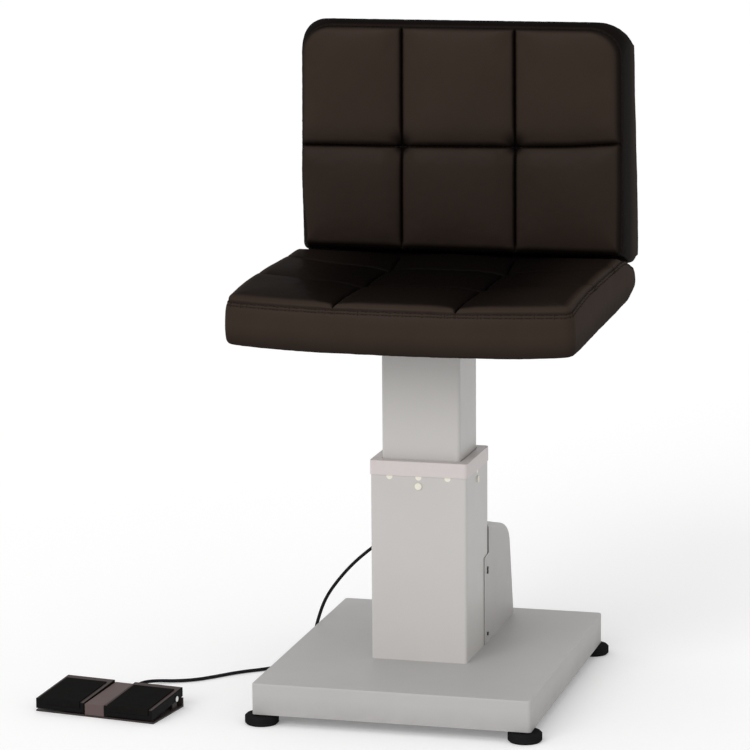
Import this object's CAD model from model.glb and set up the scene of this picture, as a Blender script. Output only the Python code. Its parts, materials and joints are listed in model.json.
"""Looks of an ophthalmic examination chair with a lift column and a twin foot switch.

Metres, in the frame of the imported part: the origin is on the floor under the middle of the base,
X is to the sitter's left, the chair faces -Y and Z is up.
"""
import json
import math

import bmesh
import bpy
from mathutils import Matrix, Vector, noise
from mathutils.bvhtree import BVHTree


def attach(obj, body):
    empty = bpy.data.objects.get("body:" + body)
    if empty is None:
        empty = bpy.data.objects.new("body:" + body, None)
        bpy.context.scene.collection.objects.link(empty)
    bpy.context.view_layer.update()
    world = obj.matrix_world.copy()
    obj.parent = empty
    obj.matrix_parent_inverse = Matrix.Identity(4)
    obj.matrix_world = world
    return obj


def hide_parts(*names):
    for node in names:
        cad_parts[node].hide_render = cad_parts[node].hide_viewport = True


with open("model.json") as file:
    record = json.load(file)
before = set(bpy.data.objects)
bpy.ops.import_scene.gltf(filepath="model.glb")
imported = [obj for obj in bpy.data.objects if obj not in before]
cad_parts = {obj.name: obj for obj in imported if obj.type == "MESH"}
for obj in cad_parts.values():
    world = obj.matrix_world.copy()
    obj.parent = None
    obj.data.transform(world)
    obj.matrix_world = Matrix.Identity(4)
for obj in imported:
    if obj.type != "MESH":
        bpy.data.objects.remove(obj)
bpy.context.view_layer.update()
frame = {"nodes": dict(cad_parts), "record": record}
MM = 0.001

# Camera, fitted to the photograph
PHOTO_WIDTH_PX = 750
FOCAL_PX = 3500
SENSOR_MM = 36
CAMERA_YAW = 0.26
CAMERA_DIP = 0.185
CAMERA_ROLL = 0.007
CAMERA_REACH = 5.0357
AIM_HEIGHT = 0.3335
AIM_ACROSS = 0.0823
AIM_UP = -0.1262


def add_camera():
    """The camera at the photograph's height, turn and distance."""
    level_reach = math.cos(CAMERA_DIP)
    back = Vector((math.sin(CAMERA_YAW) * level_reach, -math.cos(CAMERA_YAW) * level_reach, math.sin(CAMERA_DIP)))
    level = Vector((math.cos(CAMERA_YAW), math.sin(CAMERA_YAW), 0))
    rising = back.cross(level)
    across = level * math.cos(CAMERA_ROLL) - rising * math.sin(CAMERA_ROLL)
    upward = level * math.sin(CAMERA_ROLL) + rising * math.cos(CAMERA_ROLL)
    place = Vector((0, 0, AIM_HEIGHT)) - across * AIM_ACROSS - upward * AIM_UP + back * CAMERA_REACH
    data = bpy.data.cameras.new("photo_camera")
    data.sensor_width = SENSOR_MM
    data.lens = FOCAL_PX * SENSOR_MM / PHOTO_WIDTH_PX
    camera = bpy.data.objects.new("photo_camera", data)
    turned = Matrix((across, upward, back)).transposed().to_4x4()
    camera.matrix_world = Matrix.Translation(place) @ turned
    bpy.context.scene.collection.objects.link(camera)
    bpy.context.scene.camera = camera


# Cord from the rear cover's gland to the foot switch, in millimetres
CORD_POINTS_MM = (
    (-85.75, 126.0, 187.0),
    (-104.0, 126.0, 187.0),
    (-127.0, 125.0, 170.0),
    (-152.0, 123.0, 148.0),
    (-175.0, 121.5, 122.0),
    (-195.0, 120.0, 93.0),
    (-206.0, 117.5, 62.0),
    (-212.0, 111.0, 31.0),
    (-221.0, 93.0, 9.5),
    (-232.0, 67.0, 2.8),
    (-247.0, 43.0, 2.8),
    (-266.0, 24.0, 2.8),
    (-288.0, 8.0, 2.8),
    (-307.0, -11.0, 2.8),
    (-325.0, -33.0, 2.8),
    (-346.0, -54.0, 2.8),
    (-371.0, -67.0, 3.0),
    (-395.0, -77.0, 4.5),
    (-407.0, -100.0, 8.5),
    (-408.2, -130.0, 12.5),
    (-412.0, -157.3, 12.5),
)
CORD_DIAMETER = 0.005
CORD_ORDER = 3
CORD_SMOOTHNESS = 12


def add_cord():
    """The foot switch's cord, down from the rear cover and along the floor."""
    data = bpy.data.curves.new("foot_cord", "CURVE")
    data.dimensions = "3D"
    data.bevel_depth = CORD_DIAMETER / 2
    data.bevel_resolution = 5
    data.resolution_u = CORD_SMOOTHNESS
    data.use_fill_caps = True
    spline = data.splines.new("NURBS")
    spline.points.add(len(CORD_POINTS_MM) - 1)
    for point, (x, y, z) in zip(spline.points, CORD_POINTS_MM):
        point.co = (x * MM, y * MM, z * MM, 1)
    spline.order_u = CORD_ORDER
    spline.use_endpoint_u = True
    data.materials.append(FINISHES["cord_jacket"])
    cord = bpy.data.objects.new("foot_cord", data)
    bpy.context.scene.collection.objects.link(cord)
    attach(cord, "root")
    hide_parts("foot_cable")


# Materials
SRGB_KNEE = 0.04045
SRGB_TOE_SLOPE = 12.92
SRGB_OFFSET = 0.055
SRGB_POWER = 2.4


def linear(colour):
    """Linear red, green, blue and alpha from an sRGB hex value."""
    channels = [int(colour[index:index + 2], 16) / 255 for index in (1, 3, 5)]
    lit = [((value + SRGB_OFFSET) / (1 + SRGB_OFFSET)) ** SRGB_POWER if value > SRGB_KNEE
           else value / SRGB_TOE_SLOPE for value in channels]
    return (*lit, 1)


def per_mm(size_mm):
    """Texture scale whose features have one real size."""
    return 1 / (size_mm * MM)


def add(tree, kind, inputs=(), **settings):
    """One node with its settings, values and links."""
    node = tree.nodes.new(kind)
    for name, value in settings.items():
        setattr(node, name, value)
    for name, value in dict(inputs).items():
        if isinstance(value, bpy.types.NodeSocket):
            tree.links.new(value, node.inputs[name])
        else:
            node.inputs[name].default_value = value
    return node


def surface(name, **constants):
    """A material whose shader holds its constants, with its tree and the place on the piece."""
    material = bpy.data.materials.new(name)
    material.use_nodes = True
    tree = material.node_tree
    shader = tree.nodes["Principled BSDF"]
    for socket, value in constants.items():
        shader.inputs[socket.replace("_", " ")].default_value = value
    place = add(tree, "ShaderNodeTexCoord").outputs["Object"]
    return material, tree, shader, place


def finish_surface(tree, shader, colour, gloss, height, depth_mm, strength):
    """Link a colour, a roughness and a relief of real depth to a shader."""
    relief = add(tree, "ShaderNodeBump", {"Height": height, "Distance": depth_mm * MM, "Strength": strength})
    tree.links.new(colour, shader.inputs["Base Color"])
    tree.links.new(gloss, shader.inputs["Roughness"])
    tree.links.new(relief.outputs["Normal"], shader.inputs["Normal"])
    tree.links.new(relief.outputs["Normal"], shader.inputs["Coat Normal"])


def leather(name, dark, light, crease, coat):
    """Polyurethane upholstery leather, embossed and pulled over foam: fine pebble grain, a thin soft
    gloss broken by handling, nearly black where it is drawn into a seam."""
    material, tree, shader, place = surface(name, IOR=1.45, Specular_IOR_Level=0.0, Coat_Weight=coat,
                                            Coat_Roughness=0.34)
    clouds = add(tree, "ShaderNodeTexNoise", {"Vector": place, "Scale": per_mm(70), "Detail": 4.0})
    hide = add(tree, "ShaderNodeMix", {0: clouds.outputs["Fac"], 6: linear(dark), 7: linear(light)}, data_type="RGBA")
    pull = add(tree, "ShaderNodeAttribute", attribute_name="pull")
    drawn = add(tree, "ShaderNodeMix", {0: pull.outputs["Fac"], 6: hide.outputs[2], 7: linear(crease)},
                data_type="RGBA")
    rubbed = add(tree, "ShaderNodeTexNoise", {"Vector": place, "Scale": per_mm(18), "Detail": 6.0, "Roughness": 0.65})
    gloss = add(tree, "ShaderNodeMapRange", {"Value": rubbed.outputs["Fac"], "To Min": 0.36, "To Max": 0.56})
    # The real pebbles are about 1 mm across, drawn at 1.7 mm so that they show
    cloud = add(tree, "ShaderNodeTexNoise", {"Vector": place, "Scale": per_mm(9), "Detail": 2.0})
    drift = add(tree, "ShaderNodeVectorMath", {0: cloud.outputs["Color"], "Scale": 2.5 * MM}, operation="SCALE")
    strayed = add(tree, "ShaderNodeVectorMath", {0: place, 1: drift.outputs[0]})
    pebbles = add(tree, "ShaderNodeTexVoronoi", {"Vector": strayed.outputs[0], "Scale": per_mm(1.7)},
                  feature="SMOOTH_F1")
    pores = add(tree, "ShaderNodeTexNoise", {"Vector": place, "Scale": per_mm(0.9), "Detail": 2.0})
    grain = add(tree, "ShaderNodeMath", {0: pores.outputs["Fac"], 1: 0.35, 2: pebbles.outputs["Distance"]},
                operation="MULTIPLY_ADD")
    finish_surface(tree, shader, drawn.outputs[2], gloss.outputs[0], grain.outputs[0], 0.12, 0.5)
    return material


def enamel(name, dark, light, roughness, peel_mm, peel_depth_mm, grime=None, shine=0.5):
    """Oven baked paint on steel: even colour, faint orange peel or sand texture, dust low down."""
    material, tree, shader, place = surface(name, IOR=1.5, Specular_IOR_Level=shine)
    clouds = add(tree, "ShaderNodeTexNoise", {"Vector": place, "Scale": per_mm(120), "Detail": 3.0})
    coat = add(tree, "ShaderNodeMix", {0: clouds.outputs["Fac"], 6: linear(dark), 7: linear(light)}, data_type="RGBA")
    colour = coat.outputs[2]
    smears = add(tree, "ShaderNodeTexNoise", {"Vector": place, "Scale": per_mm(35), "Detail": 5.0, "Roughness": 0.6})
    if grime:
        height = add(tree, "ShaderNodeSeparateXYZ", {0: place}).outputs["Z"]
        low = add(tree, "ShaderNodeMapRange", {"Value": height, "From Min": 15 * MM, "From Max": 45 * MM,
                                               "To Min": 0.5, "To Max": 0.0})
        amount = add(tree, "ShaderNodeMath", {0: low.outputs[0], 1: smears.outputs["Fac"]}, operation="MULTIPLY")
        colour = add(tree, "ShaderNodeMix", {0: amount.outputs[0], 6: colour, 7: linear(grime)},
                     data_type="RGBA").outputs[2]
    gloss = add(tree, "ShaderNodeMapRange", {"Value": smears.outputs["Fac"], "To Min": roughness - 0.05,
                                             "To Max": roughness + 0.06})
    peel = add(tree, "ShaderNodeTexNoise", {"Vector": place, "Scale": per_mm(peel_mm), "Detail": 2.0})
    finish_surface(tree, shader, colour, gloss.outputs[0], peel.outputs["Fac"], peel_depth_mm, 0.6)
    return material


def moulded(name, dark, light, roughness, spark_mm=0.8, spark_depth_mm=0.04, bloom=0.0, shine=0.5, coat=0.0):
    """Moulded plastic or rubber with a spark eroded skin: very fine even grain, soft broad gloss."""
    material, tree, shader, place = surface(name, IOR=1.5, Specular_IOR_Level=shine, Coat_Weight=coat,
                                            Coat_Roughness=roughness, Sheen_Weight=bloom, Sheen_Roughness=0.6)
    handled = add(tree, "ShaderNodeTexNoise", {"Vector": place, "Scale": per_mm(12), "Detail": 6.0, "Roughness": 0.65})
    colour = add(tree, "ShaderNodeMix", {0: handled.outputs["Fac"], 6: linear(dark), 7: linear(light)},
                 data_type="RGBA")
    gloss = add(tree, "ShaderNodeMapRange", {"Value": handled.outputs["Fac"], "To Min": roughness - 0.08,
                                             "To Max": roughness + 0.08})
    spark = add(tree, "ShaderNodeTexNoise", {"Vector": place, "Scale": per_mm(spark_mm), "Detail": 1.0})
    finish_surface(tree, shader, colour.outputs[2], gloss.outputs[0], spark.outputs["Fac"], spark_depth_mm, 0.7)
    return material


def bare_metal(name, dark, light, roughness, grain_mm):
    """Bare or plated metal: marks of its making drawn out along the grain sizes given."""
    material, tree, shader, place = surface(name, Metallic=1.0)
    drawn = add(tree, "ShaderNodeMapping", {"Vector": place, "Scale": tuple(per_mm(size) for size in grain_mm)})
    marks = add(tree, "ShaderNodeTexNoise", {"Vector": drawn.outputs[0], "Scale": 1.0, "Detail": 3.0})
    colour = add(tree, "ShaderNodeMix", {0: marks.outputs["Fac"], 6: linear(dark), 7: linear(light)},
                 data_type="RGBA")
    gloss = add(tree, "ShaderNodeMapRange", {"Value": marks.outputs["Fac"], "To Min": roughness - 0.08,
                                             "To Max": roughness + 0.1})
    finish_surface(tree, shader, colour.outputs[2], gloss.outputs[0], marks.outputs["Fac"], 0.01, 0.5)
    return material


def ply(name, dark, light):
    """Rotary cut birch plywood: long soft figure across the face."""
    material, tree, shader, place = surface(name, IOR=1.5)
    drawn = add(tree, "ShaderNodeMapping", {"Vector": place, "Scale": (per_mm(90), per_mm(7), per_mm(7))})
    figure = add(tree, "ShaderNodeTexNoise", {"Vector": drawn.outputs[0], "Scale": 1.0, "Detail": 4.0})
    colour = add(tree, "ShaderNodeMix", {0: figure.outputs["Fac"], 6: linear(dark), 7: linear(light)},
                 data_type="RGBA")
    gloss = add(tree, "ShaderNodeMapRange", {"Value": figure.outputs["Fac"], "To Min": 0.55, "To Max": 0.7})
    finish_surface(tree, shader, colour.outputs[2], gloss.outputs[0], figure.outputs["Fac"], 0.08, 0.6)
    return material


def pedal_enamel(name, top_dark, top_light, side):
    """Cast pedal: taupe enamel on the top face, black mouldings on the faces that look sideways."""
    material, tree, shader, place = surface(name, IOR=1.5, Specular_IOR_Level=0.0, Coat_Weight=0.12)
    facing = add(tree, "ShaderNodeSeparateXYZ", {0: add(tree, "ShaderNodeTexCoord").outputs["Normal"]})
    upward = add(tree, "ShaderNodeMapRange", {"Value": facing.outputs["Z"], "From Min": 0.8, "From Max": 0.92})
    clouds = add(tree, "ShaderNodeTexNoise", {"Vector": place, "Scale": per_mm(15), "Detail": 5.0})
    top = add(tree, "ShaderNodeMix", {0: clouds.outputs["Fac"], 6: linear(top_dark), 7: linear(top_light)},
              data_type="RGBA")
    colour = add(tree, "ShaderNodeMix", {0: upward.outputs[0], 6: linear(side), 7: top.outputs[2]}, data_type="RGBA")
    gloss = add(tree, "ShaderNodeMapRange", {"Value": clouds.outputs["Fac"], "To Min": 0.4, "To Max": 0.5})
    peel = add(tree, "ShaderNodeTexNoise", {"Vector": place, "Scale": per_mm(1.4), "Detail": 2.0})
    finish_surface(tree, shader, colour.outputs[2], gloss.outputs[0], peel.outputs["Fac"], 0.04, 0.6)
    return material


FINISHES = {
    # Powder coat with a fine sand texture, dusty near the floor
    "base_paint": enamel("powder_coat_base", "#a9a7a6", "#b2b0af", 0.55, 0.9, 0.05, grime="#7d7772"),
    # Smooth satin stove enamel on the two steel tubes
    "column_paint": enamel("satin_enamel_column", "#bab7b4", "#c2bfbc", 0.42, 2.5, 0.03),
    # Moulded cap, slightly warmer than the tubes
    "collar_paint": moulded("abs_collar", "#c6bebc", "#cdc5c3", 0.45),
    "cover_paint": enamel("satin_enamel_cover", "#a9a6a4", "#b2afad", 0.48, 1.8, 0.04),
    # Zinc plate: dull grey with a faint crystal bloom
    "zinc_steel": bare_metal("zinc_plated_sheet", "#8f9193", "#a6a8a9", 0.42, (6, 6, 6)),
    "bolt_steel": bare_metal("zinc_plated_fastener", "#9a9b96", "#b3b4ae", 0.34, (0.8, 0.8, 0.8)),
    # Natural nylon: milky, yellowish white
    "nylon_screw": moulded("natural_nylon_screw", "#dcd8c6", "#e8e4d6", 0.42),
    "dark_screw": bare_metal("blackened_steel_screw", "#1b1b1c", "#29292a", 0.4, (0.8, 0.8, 0.8)),
    # Rubber with a dusty bloom in its skin
    "foot_rubber": moulded("moulded_rubber_foot", "#131315", "#1f1f20", 0.62, 1.0, 0.06, shine=0.0, coat=0.08),
    "guide_nylon": moulded("nylon_guide", "#dedad0", "#e8e4da", 0.5),
    # Cast skin: coarse, pale and matt
    "cast_aluminium": bare_metal("cast_aluminium_gearbox", "#8c8d8f", "#a3a4a5", 0.55, (1.2, 1.2, 1.2)),
    "motor_paint": enamel("black_motor_enamel", "#1a1a1b", "#222223", 0.5, 1.5, 0.05),
    # Ground round the axis: rings that catch the light
    "ground_steel": bare_metal("ground_steel_tube", "#a8a9aa", "#c0c1c2", 0.22, (9, 9, 0.5)),
    "nut_brass": bare_metal("turned_brass_nut", "#a4803f", "#bd9a55", 0.3, (8, 8, 0.5)),
    "circuit_board": moulded("solder_masked_board", "#1d4a2f", "#25593a", 0.4),
    "transformer_iron": enamel("varnished_core", "#2c2622", "#3a322c", 0.5, 1.0, 0.08),
    "black_plastic": moulded("black_nylon", "#161617", "#202021", 0.48, shine=0.0, coat=0.25),
    # Extruded PVC: smooth and slightly waxy
    "cord_jacket": moulded("pvc_cord_jacket", "#1d1d1f", "#272729", 0.45, 2.0, 0.02, shine=0.0),
    "switch_plate_paint": enamel("switch_plate_enamel", "#37302f", "#403938", 0.45, 1.4, 0.04, shine=0.1),
    "switch_taupe": enamel("taupe_switch_enamel", "#5a4d4b", "#635553", 0.45, 1.4, 0.04, shine=0.05),
    # Tread rubber: matt black with a fine tooth
    "tread_rubber": moulded("tread_rubber", "#100f0f", "#1a1918", 0.55, 1.2, 0.08, shine=0.0, coat=0.05),
    "pin_chrome": bare_metal("nickel_plated_pin", "#c8c8c6", "#dededb", 0.2, (0.8, 0.8, 0.8)),
    "spring_steel": bare_metal("spring_steel", "#77797b", "#8d8f91", 0.35, (0.6, 0.6, 0.6)),
    "dark_leather": leather("espresso_upholstery_leather", "#302721", "#372d27", "#0b0807", 0.05),
    "plywood": ply("birch_plywood", "#b59468", "#c9aa7d"),
    # Spunbonded cloth under the seat: black, matt and slightly fuzzy
    "dust_cloth": moulded("spunbonded_dust_cloth", "#171719", "#222224", 0.85, 1.5, 0.12, shine=0.0, bloom=0.03),
}
PEDAL_FINISH = pedal_enamel("pedal_enamel", "#473f3d", "#504746", "#111011")
THREAD_FINISH = moulded("bonded_nylon_thread", "#1c1614", "#2a221e", 0.4, 0.8, 0.05, shine=0.0)


def finish_nodes():
    """Give each node of the part the finish of its slot, and the pedals their two tones."""
    for row in frame["record"]["subparts"]:
        name = row["node"]
        finish = PEDAL_FINISH if name in ("pedal_left", "pedal_right") else FINISHES[row["material_slot"]]
        piece = frame["nodes"][name]
        if not piece.material_slots:
            piece.data.materials.append(finish)
        for slot in piece.material_slots:
            slot.material = finish


# Padded covers, worked in millimetres in a pad space: x across, y along, z from 0 at the
# underside to 1 at the seam of the tufted panel
TINY_MM = 0.02
CORNER_SEGMENTS = 8
RING_WIDTHS_MM = (0.8, 1.1, 1.1, 1.1, 1.5, 2.4, 3.4)
GROOVE_CUTS_MM = (0, 1, 2.2, 4, 6.5, 10, 14, 19, 25, 31)
BAND_LEVELS = (0.03, 0.07, 0.13, 0.22, 0.34, 0.48, 0.62, 0.74, 0.83, 0.88, 0.908, 0.927, 0.945, 0.963, 0.982)
GRID_MM = 9
RIM_ROLL_MM = 7.0
EDGE_FADE_MM = 18
CORNER_RUN_MM = 80
GROOVE_PINCH_MM = 2.0
GROOVE_REACH_MM = 1.6
SEAM_PINCH_MM = 1.2
SEAM_RIDGE_MM = 0.5
SEAM_ROW_GAP_MM = 4.4
SEAM_ROW_REACH_MM = 0.9
PULL_REACH_MM = 3.2
KNOT_DROP_MM = 2.5
KNOT_REACH_MM = 12.0
KNOT_PULL = 1.3
KNOT_FLAT_SHARE = 0.4
KNOT_FLAT_REACH_MM = 24.0
GROOVE_FADE_MM = 14
EDGE_PULL_SHARE = 0.3
SEAM_RIDGE_REACH_MM = 1.4
JOINT_SHADE = 0.6
SECOND_ROW_SINK_SHARE = 0.6
SECOND_ROW_SHADE = 0.35


def between(value, table):
    """A value read between the rows of a table."""
    for (start, first), (stop, last) in zip(table, table[1:]):
        if value <= stop:
            return first + (last - first) * max(0.0, value - start) / (stop - start)
    return table[-1][1]


def smooth_step(share):
    """A share from 0 to 1 with soft ends."""
    share = min(1.0, max(0.0, share))
    return share * share * (3 - 2 * share)


def pillowed(distance, roll):
    """Height share of a padded panel at a distance from its seam."""
    if distance <= 0:
        return 0.0
    return 1.0 if distance >= roll else math.sqrt(1 - (1 - distance / roll) ** 2)


class Outline:
    """A rounded outline: how deep a point lies inside it, and which way is out."""

    def __init__(self, half, low, high, low_corner, high_corner):
        self.half, self.low, self.high = half, low, high
        self.low_corner, self.high_corner = low_corner, high_corner
        self.middle = (low + high) / 2

    def depth(self, x, y):
        """How deep a point lies inside, and which way is out."""
        corner = self.low_corner if y < self.middle else self.high_corner
        over_x = abs(x) - (self.half - corner)
        over_y = abs(y - self.middle) - ((self.high - self.low) / 2 - corner)
        side_x, side_y = math.copysign(1, x), math.copysign(1, y - self.middle)
        if over_x > 0 and over_y > 0:
            span = math.hypot(over_x, over_y)
            return corner - span, (side_x * over_x / span, side_y * over_y / span)
        return (corner - over_x, (side_x, 0)) if over_x > over_y else (corner - over_y, (0, side_y))

    def sharpened(self, x, y):
        """Which way, and by what share, the edge moves when its high corners get a smaller radius."""
        over_x = abs(x) - (self.half - self.high_corner)
        over_y = y - (self.high - self.high_corner)
        if over_x > 0 and over_y > 0:
            span = math.hypot(over_x, over_y)
            return math.copysign(1 - over_x / span, x), 1 - over_y / span
        if over_x > over_y:
            return 0.0, smooth_step(1 + over_y / CORNER_RUN_MM)
        return math.copysign(smooth_step(1 + over_x / CORNER_RUN_MM), x), 0.0


def cut_lines(low, high, grooves):
    """Places of the cuts along one direction: even ones, and close ones beside the grooves."""
    places = {round(groove + side * cut, 2) for groove in grooves for cut in GROOVE_CUTS_MM for side in (1, -1)}
    reach = GROOVE_CUTS_MM[-1] + GRID_MM / 2
    steps = int((high - low) / GRID_MM)
    for step in range(1, steps):
        place = low + (high - low) * step / steps
        if all(abs(place - groove) > reach for groove in grooves):
            places.add(round(place, 2))
    return sorted(place for place in places if low + TINY_MM < place < high - TINY_MM)


def pad_blank(outline, across, along):
    """A block of the outline's plan, with rings round both panels and cuts for the grooves."""
    bm = bmesh.new()
    bmesh.ops.create_cube(bm, size=1)
    bmesh.ops.scale(bm, vec=(2 * outline.half, outline.high - outline.low, 1), verts=bm.verts)
    bmesh.ops.translate(bm, vec=(0, outline.middle, 0.5), verts=bm.verts)
    for end, corner in ((outline.low, outline.low_corner), (outline.high, outline.high_corner)):
        uprights = [edge for edge in bm.edges
                    if all(abs(vert.co.y - end) < TINY_MM for vert in edge.verts)
                    and abs(edge.verts[0].co.x - edge.verts[1].co.x) < TINY_MM]
        bmesh.ops.bevel(bm, geom=uprights, offset=corner, offset_type="OFFSET", affect="EDGES",
                        segments=CORNER_SEGMENTS, profile=0.5, material=-1)
    panels = [face for face in bm.faces if abs(face.normal.z) > 0.5]
    for panel in panels:
        for width in RING_WIDTHS_MM:
            bmesh.ops.inset_region(bm, faces=[panel], thickness=width, use_even_offset=True)
    for axis, places in ((0, across), (1, along), (2, BAND_LEVELS)):
        for place in places:
            point, normal = Vector(), Vector()
            point[axis], normal[axis] = place, 1
            bmesh.ops.bisect_plane(bm, geom=[*bm.verts, *bm.edges, *bm.faces], dist=0.0001,
                                   plane_co=point, plane_no=normal)
    return bm


def plump(distance, roll):
    """Height share of a well filled panel: steep at its seam, then a long gentle rise."""
    fall = 1 - min(1.0, max(0.0, distance) / roll)
    return (pillowed(distance, roll) + 1 - fall * fall) / 2


def bell(distance, reach):
    """A share that falls from 1 with the distance."""
    return math.exp(-(distance / reach) ** 2)


def tuft(depth, to_across, to_along, rim, crown, edge_roll, roll):
    """Height of a tufted panel over its grooves, and how far the leather is drawn in there."""
    nearest = min(abs(to_across), abs(to_along))
    crossing = math.hypot(to_across, to_along)
    knot = bell(crossing, KNOT_REACH_MM)
    cell = plump(abs(to_across), roll) * plump(abs(to_along), roll)
    height = rim * pillowed(min(depth, nearest), RIM_ROLL_MM) + crown * plump(depth, edge_roll) * cell
    height *= 1 - KNOT_FLAT_SHARE * bell(crossing, KNOT_FLAT_REACH_MM)
    inside = smooth_step(depth / GROOVE_FADE_MM)
    height -= inside * (GROOVE_PINCH_MM * bell(nearest, GROOVE_REACH_MM) + KNOT_DROP_MM * knot)
    drawn = max(bell(nearest, PULL_REACH_MM), min(1.0, KNOT_PULL * knot))
    return height, drawn * (EDGE_PULL_SHARE + (1 - EDGE_PULL_SHARE) * inside)


def double_seam(distance):
    """Sink and darkness of a seam with two rows of stitches: one on the joint, one behind its ridge."""
    joint, second = bell(distance, SEAM_ROW_REACH_MM), bell(distance + SEAM_ROW_GAP_MM, SEAM_ROW_REACH_MM)
    ridge = bell(distance + SEAM_ROW_GAP_MM / 2, SEAM_RIDGE_REACH_MM)
    sink = SEAM_PINCH_MM * (joint + SECOND_ROW_SINK_SHARE * second) - SEAM_RIDGE_MM * ridge
    return sink, max(JOINT_SHADE * joint, SECOND_ROW_SHADE * second)


# Seat
SEAT_UNDER_MM = 528.5
SEAT_OUTLINE = Outline(half=249, low=-203, high=257, low_corner=14, high_corner=16)
SEAT_BOW_MM = 22.0
SEAT_RIM_MM = 5.0
SEAT_CROWN = ((-70, 9), (-46, 6.5), (100, 6.5), (110, 5))
SEAT_EDGE_ROLL_MM = 60.0
SEAT_TUFT_ROLL_MM = 52.0
SEAT_GROOVES_ACROSS_MM = (-86.5, 86.5)
SEAT_GROOVES_ALONG_MM = (-46.0, 100.0)
SEAT_CREASE_MM = 165.0
# The side seams rise towards the rear, and the panel is dished between them
SEAT_SEAM = ((-203, 591.5), (-175, 595), (-150, 598), (-120, 600.8), (-90, 603), (-60, 604.6), (0, 606), (75, 607.2),
             (160, 609), (188, 607), (257, 586))
SEAT_MIDDLE = ((-203, 589), (-150, 590.5), (-46, 591), (100, 592), (150, 602), (165, 607), (188, 609), (257, 590))
# The edge of the underside rises towards the rear, and towards the front's corners
SEAT_FOOT = ((-203, 533), (-145, 533), (-15, 538), (98, 541.5), (196, 545.5), (230, 554), (257, 562))
SEAT_BAND = ((0, 4), (0.03, 2.2), (0.07, 1.2), (0.13, 0.5), (0.22, 0), (0.48, 0), (0.74, 0.8), (0.88, 2.2), (1, 4.8))
SEAT_FOOT_SWEEP = 2.6
SEAT_RECESS_MM = (222.0, -180.0, 222.0, 27.0)
SEAT_LIT_RIM_MM, SEAT_LIT_RUN_MM = 5, 12
SEAT_SIDE_SHADE_FROM_MM, SEAT_SIDE_SHADE_RUN_MM = 110, 130
SEAT_DISH_SWEEP = 1.5
SEAT_FOOT_SHADE_RISE = 0.5
SEAT_UNDER_SHADE = 0.5
SEAT_SHADE = ((-225, 0.86), (-150, 0.92), (-50, 1.0), (60, 1.0), (165, 1.0))
SEAT_SHADE_SIDE = 0.25
SEAT_FOOT_SHADE = 0.45

# Backrest
BACK_OUTLINE = Outline(half=243.5, low=606.6, high=957, low_corner=10, high_corner=54)
BACK_SHARPENING = ((0, 38), (0.35, 36), (0.65, 20), (0.9, 3), (1, 0))
BACK_FRONT_MM = 168.0
BACK_RIM_MM = 5.0
BACK_CROWN_MM = 9.0
BACK_EDGE_ROLL_MM = 26.0
BACK_TUFT_ROLL_MM = 32.0
BACK_GROOVES_ACROSS_MM = (-84.3, 84.3)
BACK_GROOVE_MM = 766.5
BACK_GROOVE_RISE = ((-240, -4), (-84, -3), (84, 0), (160, 2), (240, 8))
BACK_REAR_LOW_MM = (610.0, 287.0)
BACK_REAR_HIGH_MM = (930.0, 251.0)
BACK_FOOT_MM = 617.0
BACK_FOOT_SLOPE = -0.299
BACK_HEEL_MM = 50.0
BACK_SPREAD_MM = 4.0
# The front seam lies deeper on its left than on its right, the more so low down
BACK_NARROW_FROM_MM = 715.0
BACK_NARROWING_MM = {-1: 9.0, 1: 2.0}
BACK_BAND_SHARE = {-1: 1.25, 1: 0.5}
BACK_BAND = ((0, 1.2), (0.03, 0.6), (0.07, 0.2), (0.2, 0), (0.5, 0.3), (0.75, 1.5), (0.88, 3.4), (1, 6.5))
BACK_TOP_BAND = ((0, 5), (0.03, 3), (0.07, 1.8), (0.2, 0.8), (0.6, 0), (0.74, 0.8), (0.83, 2.6), (0.93, 7.4), (1, 13))
BACK_TOP_DROP = ((0, 34), (0.2, 26), (0.5, 10), (0.75, 1.8), (0.9, 0), (1, 0))
BACK_REAR_CROWN_MM = 3.0
BACK_BAND_SHADE = ((0, 0.3), (4, 0.95), (45, 0.9), (85, 0.2))
BACK_SEAM_REACH_MM = 2.4
BACK_TOP_SHADE = ((0, 0), (6, 1), (45, 0.95), (85, 0.3))
BACK_EDGE_SHADE = 0.95
BACK_EDGE_REACH_MM = 15
BACK_SHADE_RUN_MM = 10
BACK_GATHER_AT_MM, BACK_GATHER_REACH_MM = 3, 5
BACK_KNOT_AT_MM, BACK_KNOT_REACH_MM = 5, 17
BACK_DROP_FROM_MM = 800
BACK_REAR_SEAM_MM = 4
BACK_REAR_SEAM_SHADE = 0.7
BACK_GATHER_SHADE = 0.75
BACK_SHADE = ((640, 0.34), (773, 0.22), (800, 0.06), (900, 0.0))


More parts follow.
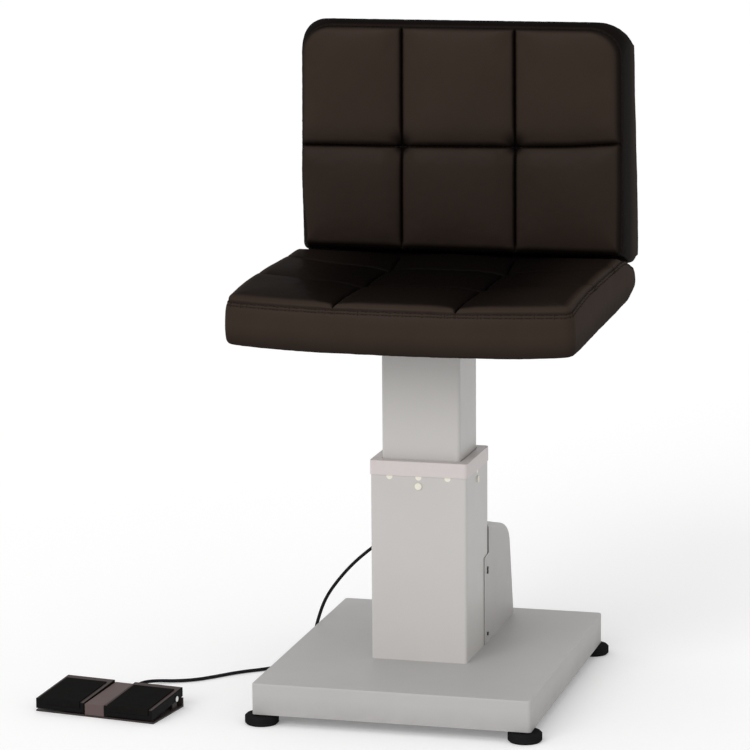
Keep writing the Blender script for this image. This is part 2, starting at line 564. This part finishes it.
def seat_form(x, y, up):
    """Place of a point of the seat's cover, and how dark the leather is there."""
    depth, (out_x, out_y) = SEAT_OUTLINE.depth(x, y)
    depth = max(0.0, depth)
    inset = between(up, SEAT_BAND) * max(0.0, 1 - depth / EDGE_FADE_MM)
    ahead = smooth_step((SEAT_GROOVES_ALONG_MM[0] - y) / (SEAT_GROOVES_ALONG_MM[0] - SEAT_OUTLINE.low))
    side = (abs(x) / SEAT_OUTLINE.half) ** 2
    bow = SEAT_BOW_MM * (1 - side) * ahead
    to_across = min((x - groove for groove in SEAT_GROOVES_ACROSS_MM), key=abs)
    to_along = min((y - groove for groove in (*SEAT_GROOVES_ALONG_MM, SEAT_CREASE_MM)), key=abs)
    middle = between(y, SEAT_MIDDLE)
    seam = middle + (between(y, SEAT_SEAM) - middle) * side ** SEAT_DISH_SWEEP
    foot = SEAT_UNDER_MM + (between(y, SEAT_FOOT) - SEAT_UNDER_MM) * side ** SEAT_FOOT_SWEEP
    z = foot + up * (seam - foot)
    if up > 1 - TINY_MM and depth > TINY_MM:
        rise, drawn = 0.0, 0.0
        if y < SEAT_CREASE_MM:
            rise, drawn = tuft(depth, to_across, to_along, SEAT_RIM_MM, between(y, SEAT_CROWN), SEAT_EDGE_ROLL_MM,
                               SEAT_TUFT_ROLL_MM)
        sink, seam_dark = double_seam(depth)
        shade = between(y - bow, SEAT_SHADE) * smooth_step((depth - SEAT_LIT_RIM_MM) / SEAT_LIT_RUN_MM)
        shade *= 1 - SEAT_SHADE_SIDE * smooth_step((abs(x) - SEAT_SIDE_SHADE_FROM_MM) / SEAT_SIDE_SHADE_RUN_MM)
        return Vector((x - out_x * inset, y - out_y * inset - bow, z + rise - sink)), max(drawn, seam_dark, shade)
    if up <= TINY_MM:
        return Vector((x - out_x * inset, y - out_y * inset - bow, z)), SEAT_UNDER_SHADE
    sink, drawn = double_seam((up - 1) * (seam - foot))
    inset += sink
    drawn = max(drawn, SEAT_FOOT_SHADE * (1 - smooth_step(up / SEAT_FOOT_SHADE_RISE)))
    return Vector((x - out_x * inset, y - out_y * inset - bow, z)), drawn


def back_form(x, y, up):
    """Place of a point of the backrest's cover, and how dark the leather is; the panel faces forwards."""
    depth, (out_x, out_z) = BACK_OUTLINE.depth(x, y)
    depth = max(0.0, depth)
    edge = max(0.0, 1 - depth / EDGE_FADE_MM)
    low = smooth_step((BACK_NARROW_FROM_MM - y) / (BACK_NARROW_FROM_MM - BACK_OUTLINE.low))
    right_hand = 1 if x > 0 else -1
    narrow = BACK_NARROWING_MM[right_hand] * low * up ** 10 * (x / BACK_OUTLINE.half) ** 4
    side, top = between(up, BACK_BAND) * BACK_BAND_SHARE[right_hand], between(up, BACK_TOP_BAND)
    turn = max(0.0, out_z) ** 2
    inset = (side * (1 - turn) + top * turn) * edge
    inset_x, inset_z = out_x * inset + right_hand * narrow, max(0.0, out_z) * inset
    to_across = min((x - groove for groove in BACK_GROOVES_ACROSS_MM), key=abs)
    to_along = y - BACK_GROOVE_MM
    span = (y - BACK_REAR_LOW_MM[0]) / (BACK_REAR_HIGH_MM[0] - BACK_REAR_LOW_MM[0])
    rear = BACK_REAR_LOW_MM[1] + (BACK_REAR_HIGH_MM[1] - BACK_REAR_LOW_MM[1]) * span
    thick = rear - BACK_FRONT_MM
    forward = rear - thick * up
    crooked = 0.0
    if up > 1 - TINY_MM and depth > TINY_MM:
        rise, drawn = tuft(depth, to_across, to_along, BACK_RIM_MM, BACK_CROWN_MM, BACK_EDGE_ROLL_MM,
                           BACK_TUFT_ROLL_MM)
        sink, seam_dark = double_seam(depth - SEAM_ROW_GAP_MM / 2)
        forward -= rise - sink
        # The leather gathers above the groove, most of all over the two knots
        gathered = max(BACK_GATHER_SHADE * bell(to_along - BACK_GATHER_AT_MM, BACK_GATHER_REACH_MM),
                       bell(math.hypot(to_across, to_along - BACK_KNOT_AT_MM), BACK_KNOT_REACH_MM))
        drawn = max(drawn, seam_dark, gathered, bell(depth, BACK_SEAM_REACH_MM),
                    BACK_EDGE_SHADE * (1 - smooth_step(depth / BACK_EDGE_REACH_MM)),
                    between(y, BACK_SHADE) * smooth_step(depth / BACK_SHADE_RUN_MM))
        crooked = between(x, BACK_GROOVE_RISE) * bell(to_along, 70)
    elif up < TINY_MM:
        forward += BACK_REAR_CROWN_MM * pillowed(depth, 60) - 1.2 * bell(depth - 4, GROOVE_REACH_MM)
        drawn = BACK_REAR_SEAM_SHADE * bell(depth - BACK_REAR_SEAM_MM, SEAM_ROW_REACH_MM)
    else:
        below = (1 - up) * thick
        sink, seam_dark = double_seam(-below - SEAM_ROW_GAP_MM / 2)
        drawn = max(seam_dark, bell(below, BACK_SEAM_REACH_MM), between(below, BACK_BAND_SHADE),
                    between(below, BACK_TOP_SHADE) * turn)
        inset_x, inset_z = inset_x + out_x * sink, inset_z + out_z * sink
    foot = BACK_FOOT_MM + BACK_FOOT_SLOPE * (forward - BACK_FRONT_MM)
    level = (y - BACK_OUTLINE.low) / (BACK_OUTLINE.high - BACK_OUTLINE.low)
    lift = (BACK_OUTLINE.high - foot) * level
    # The heel at the lower rear edge is round
    ahead = rear - forward
    if ahead < BACK_HEEL_MM and lift < BACK_HEEL_MM:
        across, upright = BACK_HEEL_MM - ahead, BACK_HEEL_MM - lift
        share = max(across, upright) / math.hypot(across, upright)
        forward, lift = rear - BACK_HEEL_MM + across * share, BACK_HEEL_MM - upright * share
        foot = BACK_FOOT_MM + BACK_FOOT_SLOPE * (forward - BACK_FRONT_MM)
    dropped = smooth_step((y - BACK_DROP_FROM_MM) / (BACK_OUTLINE.high - BACK_DROP_FROM_MM))
    z = foot + lift + crooked - between(up, BACK_TOP_DROP) * dropped
    spread = 1 + BACK_SPREAD_MM / BACK_OUTLINE.half * max(0.0, 1 - span)
    sharp = between(up, BACK_SHARPENING) * edge
    sharp_x, sharp_z = (share * sharp for share in BACK_OUTLINE.sharpened(x, y))
    return Vector(((x - inset_x + sharp_x) * spread, forward, z - inset_z + sharp_z)), drawn


# How far the leather is held beside a seam or a groove, and how much its sides give way
HELD_SEAM_MM = 12
HELD_GROOVE_MM = 8
HELD_SIDE_SHARE = 0.1
SIDE_GIVE = 0.35


def sewn_cover(name, outline, across, along, form, recess=None):
    """A padded cover: its blank taken to its form, with the pull of the seams kept on its points.

    Also gives the seam's and the grooves' points, by number and in order. The recess is the hollow that
    the board fills from below.
    """
    bm = pad_blank(outline, across, along)
    if recess:
        half, front, rear, rise = recess
        floor = [face for face in bm.faces if face.normal.z < -0.5
                 and abs(face.calc_center_median().x) < half and front < face.calc_center_median().y < rear]
    pull_layer = bm.verts.layers.float.new("pull")
    free_layer = bm.verts.layers.float.new("free")
    lines = {"seam": []}
    for vert in bm.verts:
        x, y, up = vert.co
        depth, _ = outline.depth(x, y)
        place, pull = form(x, y, up)
        vert[pull_layer] = pull
        panel = up > 1 - TINY_MM
        nearest = min((abs(value - groove) for axis, value in (("x", x), ("y", y)) for groove in GROOVES[name][axis]))
        if panel:
            loose = min(1.0, max(0.0, depth) / HELD_SEAM_MM, nearest / HELD_GROOVE_MM)
        else:
            loose = SIDE_GIVE * min(1.0, (1 - up) / HELD_SIDE_SHARE)
        vert[free_layer] = loose if up > HELD_SIDE_SHARE else 0.0
        if panel and depth < TINY_MM:
            lines["seam"].append((math.atan2(y - outline.middle, x), vert))
        elif panel:
            for axis, value, step in (("x", x, y), ("y", y, x)):
                for groove in (across if axis == "x" else along):
                    if groove in GROOVES[name][axis] and abs(value - groove) < TINY_MM:
                        lines.setdefault((axis, groove), []).append((step, vert))
        vert.co = place
    if recess:
        raised = bmesh.ops.extrude_face_region(bm, geom=floor)
        bmesh.ops.delete(bm, geom=floor, context="FACES_ONLY")
        moved = [piece for piece in raised["geom"] if isinstance(piece, bmesh.types.BMVert)]
        bmesh.ops.translate(bm, vec=(0, 0, rise), verts=moved)
    bmesh.ops.scale(bm, vec=(MM, MM, MM), verts=bm.verts)
    bmesh.ops.recalc_face_normals(bm, faces=bm.faces)
    bm.verts.index_update()
    order = {key: [vert.index for _, vert in sorted(row, key=lambda pair: pair[0])] for key, row in lines.items()}
    data = bpy.data.meshes.new(name)
    bm.to_mesh(data)
    bm.free()
    piece = bpy.data.objects.new(name, data)
    bpy.context.scene.collection.objects.link(piece)
    return piece, order


FILL_FRAMES = 20
FILL_MOST = 6 * MM
FILL_SETTINGS = {"use_pressure": True, "uniform_pressure_force": 4.0, "quality": 5, "tension_stiffness": 30,
                 "compression_stiffness": 20, "shear_stiffness": 12, "bending_stiffness": 2}


def fill_cover(piece):
    """Fill a sewn cover: its free panels swell under pressure while the sewn lines hold."""
    group = piece.vertex_groups.new(name="sewn")
    for vert, free in zip(piece.data.vertices, piece.data.attributes["free"].data):
        group.add([vert.index], 1 - free.value, "REPLACE")
    start = [vert.co.copy() for vert in piece.data.vertices]
    cloth = piece.modifiers.new("filling", "CLOTH")
    settings = cloth.settings
    for setting, value in FILL_SETTINGS.items():
        setattr(settings, setting, value)
    settings.effector_weights.gravity = 0
    settings.vertex_group_mass = group.name
    scene = bpy.context.scene
    for number in range(1, FILL_FRAMES + 1):
        scene.frame_set(number)
    swollen = piece.evaluated_get(bpy.context.evaluated_depsgraph_get()).data
    for vert, old, new in zip(piece.data.vertices, start, swollen.vertices):
        move = new.co - old
        if move.length > FILL_MOST:
            move *= FILL_MOST / move.length
        vert.co = old + move
    piece.modifiers.remove(cloth)
    piece.vertex_groups.clear()
    scene.frame_set(1)


# Size and height of each unevenness, in mm
WIDE_PUCKERS = (9, 0.35)
FINE_PUCKERS = (4.5, 0.12)
FOAM_SWELL = (60, 0.9)
FOAM_PLACE = (7, 3, 1)
PUCKER_LEAST = 0.35
PUCKER_GAIN = 4


def uneven(at, size_and_height, place=(0, 0, 0)):
    """Smooth noise of a size and a height in mm."""
    size, height = size_and_height
    return noise.noise(at / (size * MM) + Vector(place)) * height


def settle_leather(piece):
    """One subdivision, then the small puckers beside the seams and the soft unevenness of the foam."""
    finer = piece.modifiers.new("finer", "SUBSURF")
    finer.levels = finer.render_levels = 1
    depsgraph = bpy.context.evaluated_depsgraph_get()
    data = bpy.data.meshes.new_from_object(piece.evaluated_get(depsgraph))
    piece.modifiers.remove(finer)
    old = piece.data
    piece.data = data
    data.name = old.name
    pulls = data.attributes["pull"].data
    for vert, normal, pull in zip(data.vertices, data.vertex_normals, pulls):
        at = vert.co
        ripple = uneven(at, WIDE_PUCKERS) + uneven(at, FINE_PUCKERS)
        swell = uneven(at, FOAM_SWELL, FOAM_PLACE)
        drawn = PUCKER_LEAST + min(1 - PUCKER_LEAST, pull.value * PUCKER_GAIN)
        shift = ripple * drawn + swell * (1 - pull.value)
        vert.co = at + Vector(normal.vector) * shift * MM
    for face in data.polygons:
        face.use_smooth = True
    bpy.data.meshes.remove(old)


# Real stitches are about 4 mm long, drawn a little longer so that they show
STITCH_MM = (5.0, 1.2, 0.9)
STITCH_PITCH_MM = 7.0


def stitch_rows(name, surface_tree, rows):
    """Rows of stitches on a cover: each path is walked at the stitch pitch."""
    size = Matrix.Diagonal((*(measure / 2 * MM for measure in STITCH_MM), 1))
    pattern = bpy.data.meshes.new("stitch")
    bm = bmesh.new()
    bmesh.ops.create_uvsphere(bm, u_segments=6, v_segments=4, radius=1, matrix=size)
    bm.to_mesh(pattern)
    bm.free()
    bm = bmesh.new()
    for path, closed in rows:
        walk = [*path, path[0]] if closed else path
        left = STITCH_PITCH_MM * MM / 2
        for start, stop in zip(walk, walk[1:]):
            run = (stop - start).length
            while left <= run:
                place, normal, _, _ = surface_tree.find_nearest(start + (stop - start) * (left / run))
                left += STITCH_PITCH_MM * MM
                along = (stop - start).normalized()
                along = (along - normal * along.dot(normal)).normalized()
                turned = Matrix((along, normal.cross(along), normal)).transposed().to_4x4()
                set_down = Matrix.Translation(place) @ turned
                pattern.transform(set_down)
                bm.from_mesh(pattern)
                pattern.transform(set_down.inverted())
            left -= run
    bpy.data.meshes.remove(pattern)
    return new_piece(name, bm, THREAD_FINISH, "lift")


def new_piece(name, bm, finish, body):
    """An object from a bmesh in metres, with its finish, riding on its body."""
    data = bpy.data.meshes.new(name)
    bm.to_mesh(data)
    bm.free()
    for face in data.polygons:
        face.use_smooth = True
    data.materials.append(finish)
    piece = bpy.data.objects.new(name, data)
    bpy.context.scene.collection.objects.link(piece)
    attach(piece, body)
    return piece


GROOVES = {
    "seat_cover": {"x": SEAT_GROOVES_ACROSS_MM, "y": SEAT_GROOVES_ALONG_MM},
    "back_cover": {"x": BACK_GROOVES_ACROSS_MM, "y": (BACK_GROOVE_MM,)},
}


def add_cover(name, outline, form, node, recess=None):
    """One finished cushion in place of its soft node; gives its surface and its sewn lines."""
    across = cut_lines(-outline.half, outline.half, GROOVES[name]["x"])
    along = cut_lines(outline.low, outline.high, GROOVES[name]["y"])
    if recess:
        across = sorted({*across, -recess[0], recess[0]})
        along = sorted({*along, recess[1], recess[2]})
    piece, order = sewn_cover(name, outline, across, along, form, recess)
    fill_cover(piece)
    lines = {key: [piece.data.vertices[index].co.copy() for index in row] for key, row in order.items()}
    settle_leather(piece)
    piece.data.materials.clear()
    piece.data.materials.append(FINISHES["dark_leather"])
    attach(piece, "lift")
    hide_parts(node)
    data = piece.data
    tree = BVHTree.FromPolygons([vert.co for vert in data.vertices], [face.vertices for face in data.polygons])
    return tree, lines


def add_seat():
    """The seat: tufted panel, band, and its double seam."""
    tree, lines = add_cover("seat_cover", SEAT_OUTLINE, seat_form, "seat_cushion", SEAT_RECESS_MM)
    second = [point - Vector((0, 0, SEAM_ROW_GAP_MM * MM)) for point in lines["seam"]]
    stitch_rows("seat_stitches", tree, [(lines["seam"], True), (second, True)])


def add_back():
    """The backrest: tufted panel, deep band, seam and the stitched cross groove."""
    tree, lines = add_cover("back_cover", BACK_OUTLINE, back_form, "back_cushion")
    middle = Vector((0, BACK_FRONT_MM, BACK_OUTLINE.middle)) * MM
    gap = SEAM_ROW_GAP_MM / 2 * MM
    first = [point + (middle - point).normalized() * gap for point in lines["seam"]]
    second = [point + Vector((0, gap, 0)) for point in lines["seam"]]
    cross = [point + Vector((0, 0, -2.0 * MM)) for point in lines[("y", BACK_GROOVE_MM)]]
    stitch_rows("back_stitches", tree, [(first, True), (second, True), (cross, False)])


# Floor, lamp and air
FLOOR_REACH = 30.0
LAMP_STRENGTH = 1.2
LAMP_SPREAD = 40.0
LAMP_FROM = (-0.3, -0.84, 0.46)
AIR_STRENGTH = 0.76
FLOOR_COLOUR = (0.9, 0.9, 0.9, 1)
FLOOR_GLOW = 0.17


def seen_share(tree):
    """One for rays that show the floor or the air, none for rays that only carry their light."""
    path = add(tree, "ShaderNodeLightPath")
    seen = add(tree, "ShaderNodeMath", {0: path.outputs["Is Camera Ray"], 1: path.outputs["Is Glossy Ray"]},
               operation="MAXIMUM")
    seen = add(tree, "ShaderNodeMath", {0: seen.outputs[0], 1: path.outputs["Is Transmission Ray"]},
               operation="MAXIMUM")
    return seen.outputs[0]


def add_floor():
    """A plain pale floor that keeps the chair's shadow."""
    bm = bmesh.new()
    bmesh.ops.create_grid(bm, x_segments=4, y_segments=4, size=FLOOR_REACH)
    data = bpy.data.meshes.new("studio_floor")
    bm.to_mesh(data)
    bm.free()
    material = bpy.data.materials.new("studio_floor_paint")
    material.use_nodes = True
    tree = material.node_tree
    tree.nodes.clear()
    paint = add(tree, "ShaderNodeBsdfDiffuse", {"Color": FLOOR_COLOUR})
    glow = add(tree, "ShaderNodeEmission", {"Color": (1, 1, 1, 1), "Strength": FLOOR_GLOW})
    both = add(tree, "ShaderNodeAddShader", {0: paint.outputs[0], 1: glow.outputs[0]})
    mixed = add(tree, "ShaderNodeMixShader", {0: seen_share(tree), 1: paint.outputs[0], 2: both.outputs[0]})
    add(tree, "ShaderNodeOutputMaterial", {"Surface": mixed.outputs[0]})
    data.materials.append(material)
    floor = bpy.data.objects.new("studio_floor", data)
    bpy.context.scene.collection.objects.link(floor)


def add_light():
    """One broad soft lamp from the front left, and even light from the air."""
    lamp = bpy.data.lights.new("studio_lamp", "SUN")
    lamp.energy = LAMP_STRENGTH
    lamp.angle = math.radians(LAMP_SPREAD)
    holder = bpy.data.objects.new("studio_lamp", lamp)
    holder.rotation_euler = Vector(LAMP_FROM).to_track_quat("Z", "Y").to_euler()
    bpy.context.scene.collection.objects.link(holder)
    world = bpy.data.worlds.new("studio_air")
    world.use_nodes = True
    tree = world.node_tree
    tree.nodes.clear()
    strength = add(tree, "ShaderNodeMapRange", {"Value": seen_share(tree), "To Min": AIR_STRENGTH, "To Max": 1.0})
    air = add(tree, "ShaderNodeBackground", {"Color": (1, 1, 1, 1), "Strength": strength.outputs[0]})
    add(tree, "ShaderNodeOutputWorld", {"Surface": air.outputs[0]})
    bpy.context.scene.world = world
    bpy.context.scene.view_settings.view_transform = "Standard"


add_camera()
add_cord()
finish_nodes()
add_seat()
add_back()
add_floor()
add_light()
